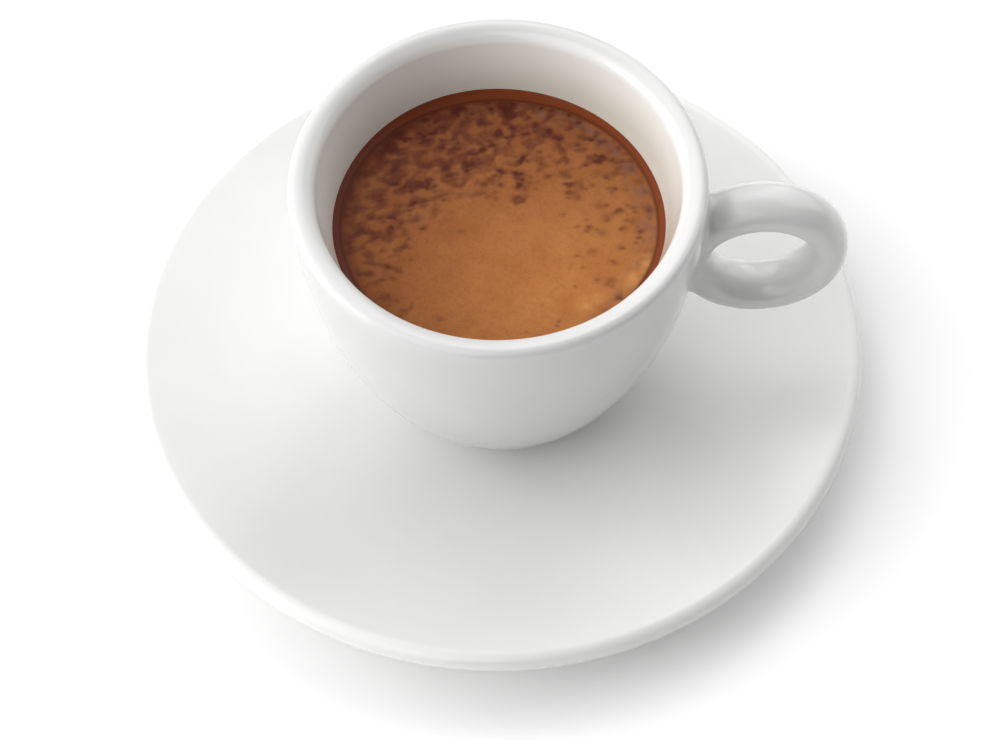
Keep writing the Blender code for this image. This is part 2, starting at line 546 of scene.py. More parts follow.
@dataclass(frozen=True)
class CremaFinish:
    """Crema: tan foam with dark flecks, and a glossy red-brown ring where it meets the wall.

    The mesh carries how much of each there is at its points, under the names in Paint.
    """

    tan: Colour = (0.38, 0.148, 0.043)  # plain foam
    warm_tan: Colour = (0.335, 0.120, 0.032)  # its redder clouds
    mottle: Colour = (0.24, 0.084, 0.030)  # fine mottling in the foam
    fleck: Colour = (0.072, 0.013, 0.008)  # dark flecks
    veil: Colour = (0.098, 0.017, 0.008)  # thin foam near the wall
    sheen: Colour = (0.185, 0.080, 0.052)  # painted reflection: greyish sheen on the side of the cup's ring
    froth: Colour = (0.53, 0.248, 0.083)  # pale froth
    ring: Colour = (0.105, 0.024, 0.014)  # ring at the wall, where the coffee is deep
    glow: Colour = (0.185, 0.042, 0.013)  # painted light: the ring, lighter where light comes back from the wall
    line: Colour = (0.045, 0.010, 0.004)  # the ring's thin inner edge
    smoothing: float = 0.18  # how much less rough the ring is than the foam

    def material(self, name: str) -> bpy.types.Material:
        """The crema as a node material.

        Args:
            name: The material's name.

        Returns:
            The material.
        """
        shader = Shader(name)
        coloured = self.foam(shader)
        ragged = shader.ranged(shader.noise(scale=1500.0), MOST_NOISE, (0.85, 1.15))
        fleck = shader.math("MULTIPLY", shader.painted(Paint.FLECK), ragged)
        ring = shader.painted(Paint.RING)
        # Painted light: the ring is lighter on its lit side
        liquid = shader.mixed(shader.painted(Paint.GLOW), self.ring, self.glow)
        for share, colour in (
            (shader.painted(Paint.VEIL), self.veil),
            (shader.painted(Paint.SHEEN), self.sheen),
            (shader.ranged(fleck, (0.0, 1.0), (0.0, 0.95)), self.fleck),
            (shader.painted(Paint.FROTH), self.froth),
            (ring, liquid),
            (shader.painted(Paint.LINE), self.line),
        ):
            coloured = shader.mixed(share, coloured, colour)
        rough = shader.ranged(shader.noise(scale=900.0), MOST_NOISE, (0.30, 0.40))
        smooth = shader.math("MAXIMUM", ring, shader.math("MULTIPLY", fleck, 0.5))
        bubbles = shader.bump(shader.cells(scale=4200.0, smoothness=0.35), 0.012 * MM)
        shader.set(
            Base_Color=coloured,
            Roughness=shader.math("SUBTRACT", rough, shader.math("MULTIPLY", smooth, self.smoothing)),
            IOR=1.36,
            Specular_IOR_Level=0.085,
            Normal=shader.bump(shader.noise(scale=1800.0, detail=3.0), 0.015 * MM, bubbles),
        )
        return shader.material

    def foam(self, shader: Shader) -> Socket:
        """Colour of the plain foam: slow clouds, fine mottling and the darker gaps of bubbles.

        Args:
            shader: The crema's material.

        Returns:
            The colour.
        """
        clouds = shader.ranged(shader.noise(scale=170.0, detail=3.0), (0.35, 0.65))
        foam = shader.mixed(clouds, self.tan, self.warm_tan)
        mottling = shader.noise(scale=1300.0, detail=3.0, roughness=0.6)
        foam = shader.mixed(shader.ranged(mottling, (0.46, 0.70), (0.0, 0.38)), foam, self.mottle)
        gaps = shader.noise(scale=3600.0, detail=2.0, roughness=0.6)
        return shader.mixed(shader.ranged(gaps, (0.52, 0.70), (0.0, 0.22)), foam, self.fleck)


def dress(piece: bpy.types.Object, material: bpy.types.Material, node: str) -> None:
    """Gives a piece its material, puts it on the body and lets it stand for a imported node.

    Args:
        piece: The piece.
        material: Its material.
        node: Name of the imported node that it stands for.
    """
    piece.data.materials.clear()
    piece.data.materials.append(material)
    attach(piece, BODY)
    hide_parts(node)
    log.info("%s stands for %s: %d faces", piece.name, node, len(piece.data.polygons))


# Saucer


@dataclass
class Saucer:
    """The round saucer, turned about the Z axis."""

    radius: float = 60.0 * MM
    edge_thickness: float = 3.8 * MM
    edge_height: float = 10.8 * MM  # of the edge's middle
    edge_slope: float = math.radians(17.0)  # of the dish where it meets the edge
    seat_radius: float = 17.5 * MM  # of the level seat under the cup
    seat_height: float = 4.5 * MM
    underside_height: float = 1.2 * MM  # inside the foot ring
    foot_outer: float = 30.5 * MM
    foot_inner: float = 27.0 * MM
    foot_top: float = 2.0 * MM  # where the foot ring leaves the underside
    foot_rounding: float = 0.6 * MM  # of the foot ring's corners
    turns: int = 320  # steps round the axis
    glaze: Glaze = Glaze(smoothest=0.21, dullest=0.26, bare_below=0.25 * MM)

    def profile(self) -> Array:
        """Half section, from the middle of the seat out over the edge and back underneath.

        Returns:
            One row of radius and height for each point.
        """
        half = self.edge_thickness / 2
        top = QUARTER_TURN + self.edge_slope
        edge = arc((self.radius - half, self.edge_height), half, top, top - math.pi, steps=28)
        seat = np.array([self.seat_radius, self.seat_height])
        foot_side = np.array([self.foot_outer + self.foot_rounding, self.foot_top])
        recess = np.array([self.foot_inner, self.underside_height])
        return np.vstack((
            np.linspace([0.0, self.seat_height], seat, 8)[:-1],
            power_curve(seat, edge[0], self.edge_slope, steps=70)[:-1],
            edge,
            power_curve(foot_side, edge[-1], self.edge_slope, steps=40)[-2::-1],
            foot_ring(self.foot_outer, self.foot_inner, 0.0, self.foot_rounding),
            np.linspace(recess, [0.0, self.underside_height], 8),
        ))

    def build(self) -> None:
        """Makes the saucer."""
        piece = turned(self.profile(), full_turn(self.turns)).piece("saucer_dish")
        dress(piece, self.glaze.material("saucer_glaze"), "saucer")


# Cup


@dataclass
class Ring:
    """The handle, a ring in the XZ plane with an oval section."""

    centre_x: float
    centre_z: float = 36.85 * MM
    radius: float = 10.7 * MM  # of the section's middle line
    half_depth: float = 3.18 * MM  # of the section, along the ring's radius
    half_width: float = 4.25 * MM  # of the section, across the ring
    turns: int = 240  # steps round the ring
    section_steps: int = 84

    def surface(self) -> Surface:
        """The ring's surface: an oval section carried round a circle.

        A point lies at the circle's radius plus half_depth times the cosine of its section
        angle, turned in the XZ plane, and half_width times the sine across.

        Returns:
            The closed surface, its faces pointing out.
        """
        turn, section = full_turn(self.turns)[:, None], full_turn(self.section_steps)
        reach = self.radius + self.half_depth * np.cos(section)
        points = joined(
            self.centre_x + reach * np.cos(turn),
            self.half_width * np.sin(section),
            self.centre_z + reach * np.sin(turn),
        )
        number = np.arange(len(points)).reshape(self.turns, self.section_steps)
        return Surface(points, [squares(np.pad(number, (0, 1), mode="wrap"))])

    def distance(self, points: Array) -> Array:
        """Distance from the ring's surface, to first order, negative inside.

        It is the oval section's level, less 1, over the level's own slope.

        Args:
            points: One row of x, y and z for each point.

        Returns:
            The distance of each point.
        """
        out = np.hypot(points[:, 0] - self.centre_x, points[:, 2] - self.centre_z) - self.radius
        depth, width = out / self.half_depth, points[:, 1] / self.half_width
        level = np.hypot(depth, width) + 1e-9
        slope = np.hypot(depth / self.half_depth, width / self.half_width) / level
        return (level - 1) / slope


@dataclass
class Cup:
    """The thick-walled cup, turned about its own axis, with the ring blended into its wall."""

    axis_x: float = 0.67 * MM  # where the cup's axis crosses the X axis
    base: float = 4.8 * MM  # surface that the cup stands on
    rim_radius: float = 32.05 * MM
    lip_radius: float = 30.7 * MM  # of the lip's highest line
    lip_height: float = 56.4 * MM
    lip_rounding: float = 2.8 * MM  # of the lip's inner side
    belly_base: float = 12.8 * MM  # radius that the belly's curve starts from
    belly_bend: float = 1.89  # how early it turns upright
    belly_fullness: float = 1.66  # how far it spreads at its base
    belly_start: float = 0.045  # share of its height where the foot takes over
    foot_radius: float = 15.8 * MM
    foot_inner: float = 12.6 * MM
    foot_rounding: float = 0.6 * MM
    foot_side: float = 0.4 * MM  # height of the foot's upright outer side
    foot_recess: float = 1.9 * MM  # depth inside the foot ring
    recess_side: float = 0.3 * MM  # height of the recess's upright side
    waist_drop: float = 0.1 * MM  # from the belly's end down to the corner of its curve into the foot
    floor_height: float = 11.5 * MM
    floor_radius: float = 6.0 * MM  # of the floor's level part
    wall_lean: float = math.radians(13.0)  # of the inner wall at the lip
    bowl_bend: float = 1.2  # how early the inner wall turns upright
    bowl_fullness: float = 1.55  # how far it spreads at the floor
    ring_offset: float = 40.95 * MM  # of the ring's middle from the cup's axis
    blend: float = 3.2 * MM  # reach of the soft joint with the ring
    seam: float = 0.4  # share of that reach in which points are evened out
    seam_passes: int = 12
    skin: float = 0.3 * MM  # points that lie this close to the wall or the ring are on it
    shortest: float = 0.05 * MM  # closer points of the fused mesh are merged
    turns: int = 288  # steps round the axis
    crowding: float = 0.6  # how much closer they lie at the ring
    # Painted shade: the cup's glaze is a darker copy of the saucer's, which is the same porcelain
    glaze: Glaze = Glaze(
        light=(0.600, 0.602, 0.596),
        deep=(0.578, 0.581, 0.576),
        bare_below=5.0 * MM,
        bowl=BowlShading(),
    )

    def __post_init__(self) -> None:
        """Works out the ring's place and a fine table of the outer wall."""
        self.ring = Ring(self.axis_x + self.ring_offset)
        self.rim_rounding = self.rim_radius - self.lip_radius
        self.rim_height = self.lip_height - self.rim_rounding
        table = self.belly(np.linspace(0, 1, 800) ** 2)
        self.wall_radii, self.wall_heights = table.T
        self.wall_leans = np.cos(np.arctan(np.gradient(self.wall_radii, self.wall_heights)))

    def belly(self, share: Array) -> Array:
        """Outer wall, at shares of its height from the base to the rim."""
        radius = bowl_radius(share, self.belly_base, self.rim_radius, self.belly_bend, self.belly_fullness)
        return np.column_stack((radius, self.base + share * (self.rim_height - self.base)))

    def lip_inner(self, steps: int) -> Array:
        """Inner rounding of the lip, from the leaning wall to the top."""
        centre = (self.lip_radius, self.lip_height - self.lip_rounding)
        return arc(centre, self.lip_rounding, math.pi - self.wall_lean, QUARTER_TURN, steps)

    def bowl_wall(self, steps: int) -> Array:
        """Inner wall, from the floor of the bowl to the start of the lip.

        Args:
            steps: Number of steps up the wall, closer together near the floor.

        Returns:
            One row of radius and height for each point.
        """
        top_radius, top_height = self.lip_inner(1)[0]
        share = np.linspace(0, 1, steps + 1) ** 1.6
        radius = bowl_radius(share, self.floor_radius, top_radius, self.bowl_bend, self.bowl_fullness)
        height = self.floor_height + share * (top_height - self.floor_height)
        return np.column_stack((radius, height))

    def inner_radius(self, height: Array | float) -> Array:
        """Radius of the inner wall at heights above the floor of the bowl."""
        wall = self.bowl_wall(steps=400)
        return np.interp(height, wall[:, 1], wall[:, 0])

    def foot(self, waist: Array) -> Array:
        """Section of the foot, from the end of the belly down, under and up into the recess.

        Args:
            waist: Last point of the belly.

        Returns:
            One row of radius and height for each point.
        """
        low, recess = self.base + self.foot_rounding, self.base + self.foot_recess
        side_top = np.array([self.foot_radius, low + self.foot_side])
        under_waist = np.array([self.foot_radius, waist[1] - self.waist_drop])
        recess_low = np.array([self.foot_inner, low + self.recess_side])
        recess_corner = np.array([self.foot_inner, recess])
        recess_edge = np.array([self.foot_inner - self.foot_rounding, recess])
        return np.vstack((
            rounded_corner(waist, under_waist, side_top, steps=8)[1:],
            foot_ring(self.foot_radius, self.foot_inner, self.base, self.foot_rounding),
            rounded_corner(recess_low, recess_corner, recess_edge, steps=6),
            np.linspace(recess_edge, [0.0, recess], 7)[1:],
        ))

    def profile(self) -> Array:
        """Half section, from the floor of the bowl over the lip and down to the foot.

        Returns:
            One row of radius and height for each point.
        """
        floor = np.linspace([0.0, self.floor_height], [self.floor_radius, self.floor_height], 6)
        lip_centre = (self.lip_radius, self.rim_height)
        lip_outer = arc(lip_centre, self.rim_rounding, QUARTER_TURN, 0, steps=12)
        # The belly's steps lie a little closer together towards the foot
        belly = self.belly(1 - (1 - self.belly_start) * np.linspace(0, 1, 76)[1:] ** 0.85)
        inside = (floor[:-1], self.bowl_wall(steps=48)[:-1], self.lip_inner(steps=14))
        return np.vstack((*inside, lip_outer[1:], belly, self.foot(belly[-1])))

    def angles(self) -> Array:
        """Angles round the axis, crowded at the ring: t less crowding times the sine of t."""
        even = full_turn(self.turns)
        return even - self.crowding * np.sin(even)

    def wall_distance(self, points: Array) -> Array:
        """Distance from the outer wall, to first order, negative inside.

        It is the distance from the axis less the wall's radius at that height, times the
        cosine of the wall's lean.

        Args:
            points: One row of x, y and z for each point.

        Returns:
            The distance of each point.
        """
        out = np.hypot(points[:, 0] - self.axis_x, points[:, 1])
        radius = np.interp(points[:, 2], self.wall_heights, self.wall_radii)
        return (out - radius) * np.interp(points[:, 2], self.wall_heights, self.wall_leans)

    def blended_distance(self, points: Array) -> Array:
        """Distance from the wall and the ring melted together.

        It is the smaller of the two distances, less a quarter of the blend times the square of
        one less their difference over the blend, where they differ by less than the blend.

        Args:
            points: One row of x, y and z for each point.

        Returns:
            The distance of each point.
        """
        wall, ring = self.wall_distance(points), self.ring.distance(points)
        near = np.clip(1 - np.abs(wall - ring) / self.blend, 0, None)
        return np.minimum(wall, ring) - self.blend / 4 * near**2

    def settled(self, points: Array) -> Array:
        """Points moved onto the blended surface by four Newton steps along its slope.

        Args:
            points: One row of x, y and z for each point.

        Returns:
            The moved points.
        """
        step, distance = 0.01 * MM, self.blended_distance
        for _ in range(4):
            rises = [distance(points + step * axis) - distance(points - step * axis) for axis in np.eye(3)]
            slope = np.stack(rises, axis=-1) / (2 * step)
            points = points - (distance(points) / (slope**2).sum(axis=1))[:, None] * slope
        return points

    def soften_joint(self, mesh: bpy.types.Mesh) -> None:
        """Rounds the joint between the wall and the ring.

        Points near the joint move onto the blended surface. Those closest to it are then drawn
        half way to the mean of their neighbours and moved back, a few times, which evens out
        its facets.

        Args:
            mesh: The cup's mesh, the ring already fused with it.
        """
        count = len(mesh.vertices)
        points = np.empty(count * 3)
        mesh.vertices.foreach_get("co", points)
        points = points.reshape(-1, 3)
        edges = np.empty(len(mesh.edges) * 2, np.int32)
        mesh.edges.foreach_get("vertices", edges)
        edges = edges.reshape(-1, 2)
        wall, ring = self.wall_distance(points), self.ring.distance(points)
        outside = np.abs(np.minimum(wall, ring)) < self.skin
        band = np.flatnonzero(outside & (np.abs(wall - ring) < self.blend))
        seam = np.flatnonzero(outside & (np.abs(wall - ring) < self.seam * self.blend))
        both = np.vstack((edges, edges[:, ::-1]))
        neighbours = np.maximum(np.bincount(both[:, 0], minlength=count), 1)[:, None]
        points[band] = self.settled(points[band])
        for _ in range(self.seam_passes):
            total = np.zeros_like(points)
            np.add.at(total, both[:, 0], points[both[:, 1]])
            points[seam] = self.settled((points[seam] + (total / neighbours)[seam]) / 2)
        mesh.vertices.foreach_set("co", points.astype(np.float32).ravel())
        mesh.update()

    def build(self) -> None:
        """Makes the cup, fuses the ring with it and rounds their joint."""
        cup = turned(self.profile(), self.angles(), self.axis_x).piece("cup_and_ring")
        ring = self.ring.surface().piece("ring_to_fuse")
        union = cup.modifiers.new("handle", "BOOLEAN")
        union.operation = "UNION"
        union.solver = "MANIFOLD"
        union.object = ring
        evaluated = cup.evaluated_get(bpy.context.evaluated_depsgraph_get())
        fused = bpy.data.meshes.new_from_object(evaluated)
        cup.modifiers.remove(union)
        bpy.data.objects.remove(ring, do_unlink=True)
        cup.data = fused
        even_out(fused, self.shortest)
        self.soften_joint(fused)
        fused.shade_smooth()
        dress(cup, self.glaze.material("cup_glaze"), "cup")


def even_out(mesh: bpy.types.Mesh, shortest: float) -> None:
    """Merges points that lie too close together, and splits many-sided faces.

    Args:
        mesh: The mesh.
        shortest: Distance within which points are merged.
    """
    work = bmesh.new()
    work.from_mesh(mesh)
    bmesh.ops.remove_doubles(work, verts=work.verts, dist=shortest)
    many_sided = [face for face in work.faces if len(face.verts) > 4]
    bmesh.ops.triangulate(work, faces=many_sided)
    work.to_mesh(mesh)
    work.free()


# Drink


@dataclass
class Espresso:
    """The coffee under its crema, filling the bowl."""

    cup: Cup
    level: float = 42.6 * MM  # its surface, just inside the crema
    sunk: float = 0.15 * MM  # how far it reaches into the wall
    gap: float = 0.2 * MM  # least height from its surface to the next point down
    turns: int = 144  # steps round the axis
    finish: CoffeeFinish = CoffeeFinish()

    def build(self) -> None:
        """Makes the coffee: the bowl's inner wall, a little wider, closed at its level."""
        wall = self.cup.bowl_wall(steps=60)
        wall = wall[wall[:, 1] < self.level - self.gap]
        edge = [self.cup.inner_radius(self.level) + self.sunk, self.level]
        side = wall[::-1] + [self.sunk, -self.sunk]
        floor = self.cup.floor_height - self.sunk
        profile = np.vstack(([0.0, self.level], edge, side, [0.0, floor]))
        piece = turned(profile, full_turn(self.turns), self.cup.axis_x).piece("coffee_fill")
        dress(piece, self.finish.material("dark_coffee"), "espresso")


@dataclass(frozen=True)
class Dots:
    """Round dark dots in the foam: bells at random places, kept where slow noise is high."""

    count: int = 1900  # places tried
    seed: int = 29
    side: float = math.radians(42.0)  # direction in which they crowd
    least: float = 0.06  # share of them kept on the other side
    clusters: Pattern = Pattern(cell=2.6 * MM, seed=45, shift=12 + 40j)
    begin: Pair = (5.4 * MM, 17.1 * MM)  # distances from the clear place over which they set in
    smallest: float = 0.3 * MM  # radius
    spread: float = 0.45 * MM  # how much larger the largest are
    stretch: float = 1.2  # length along x over width
    strength: float = 0.42  # of a single dot
    darkest: float = 0.7  # where several meet

    def share(self, place: Places, reach: float, clear_place: complex) -> Array:
        """How dark the dots make the foam.

        Args:
            place: Places on the foam.
            reach: Distance from the axis within which the dots lie.
            clear_place: Middle of the part with the fewest.

        Returns:
            The share of dot at each place.
        """
        rng = np.random.default_rng(self.seed)
        away, turn = reach * np.sqrt(rng.random(self.count)), FULL_TURN * rng.random(self.count)
        tried = away * np.exp(1j * turn)
        wanted = self.least + (1 - self.least) * facing(turn, self.side) ** 1.5
        wanted *= eased(self.clusters.at(tried), -0.3, 0.5)
        wanted *= eased(np.abs(tried - clear_place), *self.begin)
        kept = rng.random(self.count) < wanted
        sizes = self.smallest + self.spread * rng.random(self.count) ** 2
        total = np.zeros(place.shape)
        for dot, size in zip(tried[kept], sizes[kept]):
            from_dot = np.hypot((place - dot).real / self.stretch, (place - dot).imag)
            total += self.strength * bell(from_dot, size)
        return np.minimum(total, self.darkest)


@dataclass(frozen=True)
class Flecks:
    """Dark flecks in the foam: long ones that crowd at the back, and the dots."""

    clear_place: complex = (2.3 - 7.6j) * MM  # middle of the part with no flecks
    begin: Pair = (9.0 * MM, 22.0 * MM)  # distances from there over which they set in
    side: float = math.radians(129.0)  # direction in which they crowd
    uneven: Pattern = Pattern(cell=4.5 * MM, seed=57, shift=7 + 2j, layers=2)
    turn: float = math.radians(14.0)  # direction in which the long ones lie
    length: float = 2.0 * MM  # of their noise's cells along that direction
    width: float = 1.6 * MM  # of those cells across it
    shift: complex = 30 + 30j  # cells by which their noise is moved
    seeds: tuple[int, int] = (11, 12)  # of their noise and of its finer part
    fineness: float = 2.3  # how much smaller the finer part's cells are
    fine_strength: float = 0.35
    bend: Pattern = Pattern(cell=4.0 * MM, seed=40, shift=9 + 3j)
    bend_reach: complex = 0.15 + 0.25j  # cells by which they are bent along and across
    faint: Pattern = Pattern(cell=3.0 * MM, seed=44, shift=20 + 20j)
    dots: Dots = Dots()

    def crowd(self, place: Places) -> Array:
        """How closely flecks lie, from 0 to a little above 1.

        It grows with the distance from the clear place, times how far the place faces the
        crowded side, a little sharpened, and slow noise makes it uneven.

        Args:
            place: Places on the foam.

        Returns:
            The crowding at each place.
        """
        grown = eased(np.abs(place - self.clear_place), *self.begin)
        sharpened = facing(np.angle(place), self.side) ** 1.4
        return grown * sharpened * (1 + 0.35 * self.uneven.at(place))

    def share(self, place: Places, crowd: Array, reach: float) -> Array:
        """Share of dark fleck, from 0 to 1.

        Noise shows where it passes a limit that falls as the flecks crowd. Its cells are longer
        along the flecks than across them, and slow noise bends them and makes some of the
        flecks fainter. Round dots lie among them and further out.

        Args:
            place: Places on the foam.
            crowd: How closely the flecks lie there.
            reach: Distance from the axis within which the dots lie.

        Returns:
            The share of fleck at each place.
        """
        lying = place * np.exp(-1j * self.turn)
        cells = lying.real / self.length + 1j * lying.imag / self.width
        cells = cells + self.bend_reach * self.bend.at(place) + self.shift
        streaks = slope_noise(cells, self.seeds[0])
        streaks += self.fine_strength * slope_noise(self.fineness * cells, self.seeds[1])
        shown = eased(streaks + 1.2 * crowd, 0.25, 1.6) * eased(crowd, 0.03, 0.4)
        shown *= 0.75 + 0.3 * self.faint.at(place)
        return np.clip(shown + self.dots.share(place, reach, self.clear_place), 0, 1)


@dataclass(frozen=True)
class Froth:
    """Pale froth in front, towards the ring."""

    patches: tuple[tuple[complex, float], ...] = (
        ((12.9 - 15.6j) * MM, 1.5 * MM),
        ((14.6 - 14.6j) * MM, 1.1 * MM),
        ((22.6 - 8.6j) * MM, 2.0 * MM),
        ((20.6 - 11.4j) * MM, 1.6 * MM),
    )
    uneven: Pattern = Pattern(cell=1.3 * MM, seed=90, layers=2)
    strength: float = 0.6  # of its colour

    def share(self, place: Places) -> Array:
        """How much froth lies at each place: the highest of the patches' bells, broken up."""
        bells = [bell(np.abs(place - middle), radius) for middle, radius in self.patches]
        return np.max(bells, axis=0) * eased(self.uneven.at(place), -1.8, 0.8)


@dataclass(frozen=True)
class Pits:
    """Small pits in the foam, each a bell-shaped hollow at a random place."""

    count: int = 170
    seed: int = 17
    smallest: float = 0.14 * MM  # radius
    spread: float = 0.18 * MM  # how much larger the largest are
    steepness: float = 0.35  # depth over radius

    def depth(self, place: Places, reach: float) -> Array:
        """Depth of the pits.

        Args:
            place: Places on the foam.
            reach: Distance from the axis within which the pits lie.

        Returns:
            The depth at each place.
        """
        depth = np.zeros(place.shape)
        for turn, share, size in np.random.default_rng(self.seed).random((self.count, 3)):
            pit = reach * math.sqrt(share) * np.exp(1j * FULL_TURN * turn)
            radius = self.smallest + self.spread * size**3
            depth = np.maximum(depth, self.steepness * radius * bell(np.abs(place - pit), radius))
        return depth


@dataclass(frozen=True)
class WallRing:
    """The foamless ring at the wall with its narrow inner edge and painted light on its lit side, and the
    veil of foam and a painted reflection beyond it.
    """

    width: float = 1.25 * MM
    swell: float = 0.7 * MM  # how much wider it is at the back
    wander: float = 0.12 * MM  # how far noise moves its inner edge
    softness: float = 0.15 * MM  # half the width over which it ends
    line_reach: float = 0.28 * MM  # half the width of its thin inner edge
    line_strength: float = 0.6
    # side on which the ring is painted lighter, as painted light
    glowing_side: float = math.radians(30.0)
    veiled_side: float = math.radians(145.0)  # where the thin foam is widest and darkest
    veil_reach: Pair = (0.7 * MM, 3.8 * MM)  # width on the other side, and how much wider here
    veil_strength: Pair = (0.25, 0.65)  # share on the other side, and how much more here
    sheen_start: float = 0.4 * MM  # over which the painted greyish sheen sets in
    sheen_middle: float = 1.4 * MM  # beyond the ring
    sheen_reach: float = 1.6 * MM
    sheen_strength: float = 0.85
    sheen_patch: float = 1.2 * MM  # size of its patches across the ring

    def width_at(self, turn: Array) -> Array:
        """Width of the ring, swelling at the back by the sine to the fourth power.

        Args:
            turn: Angles round the cup.

        Returns:
            The width at each angle.
        """
        behind = np.clip(np.sin(turn), 0, None) ** 4
        noise = slope_noise(turn / FULL_TURN * NOISE_PERIOD / 4 + (0.5 + 7.3j), seed=5)
        return self.width + self.swell * behind + self.wander * noise

    def paint(self, inset: Array, turn: Array, width: Array) -> dict[Paint, Array]:
        """Ring, its painted glow and narrow inner edge, and the veil and the painted reflection beyond it.

        The ring ends in a smooth step and its edge is a bell. The veil falls as e to the power
        of less the 1.5th power of the distance, and the painted reflection is a bell that noise breaks up.

        Args:
            inset: Distance from the wall.
            turn: Angle round the cup.
            width: Width of the ring there.

        Returns:
            The share of each at every place.
        """
        veiled, lit = facing(turn, self.veiled_side), facing(turn, self.glowing_side)
        beyond = inset - width
        veil_reach = self.veil_reach[0] + self.veil_reach[1] * veiled
        veil = np.exp(-((np.clip(beyond, 0, None) / veil_reach) ** 1.5))
        # Painted reflection: a greyish sheen beyond the ring on its lit side
        painted_light = eased(beyond, 0, self.sheen_start) * bell(beyond - self.sheen_middle, self.sheen_reach)
        round_cup = NOISE_PERIOD * (turn / FULL_TURN + 0.5)
        patches = eased(slope_noise(round_cup + 1j * inset / self.sheen_patch, seed=61), -0.5, 0.4)
        return {
            Paint.RING: 1 - eased(beyond, -self.softness, self.softness),
            Paint.GLOW: lit,
            Paint.LINE: self.line_strength * bell(beyond, self.line_reach),
            Paint.VEIL: veil * (self.veil_strength[0] + self.veil_strength[1] * veiled),
            Paint.SHEEN: self.sheen_strength * painted_light * lit**2 * patches,
        }


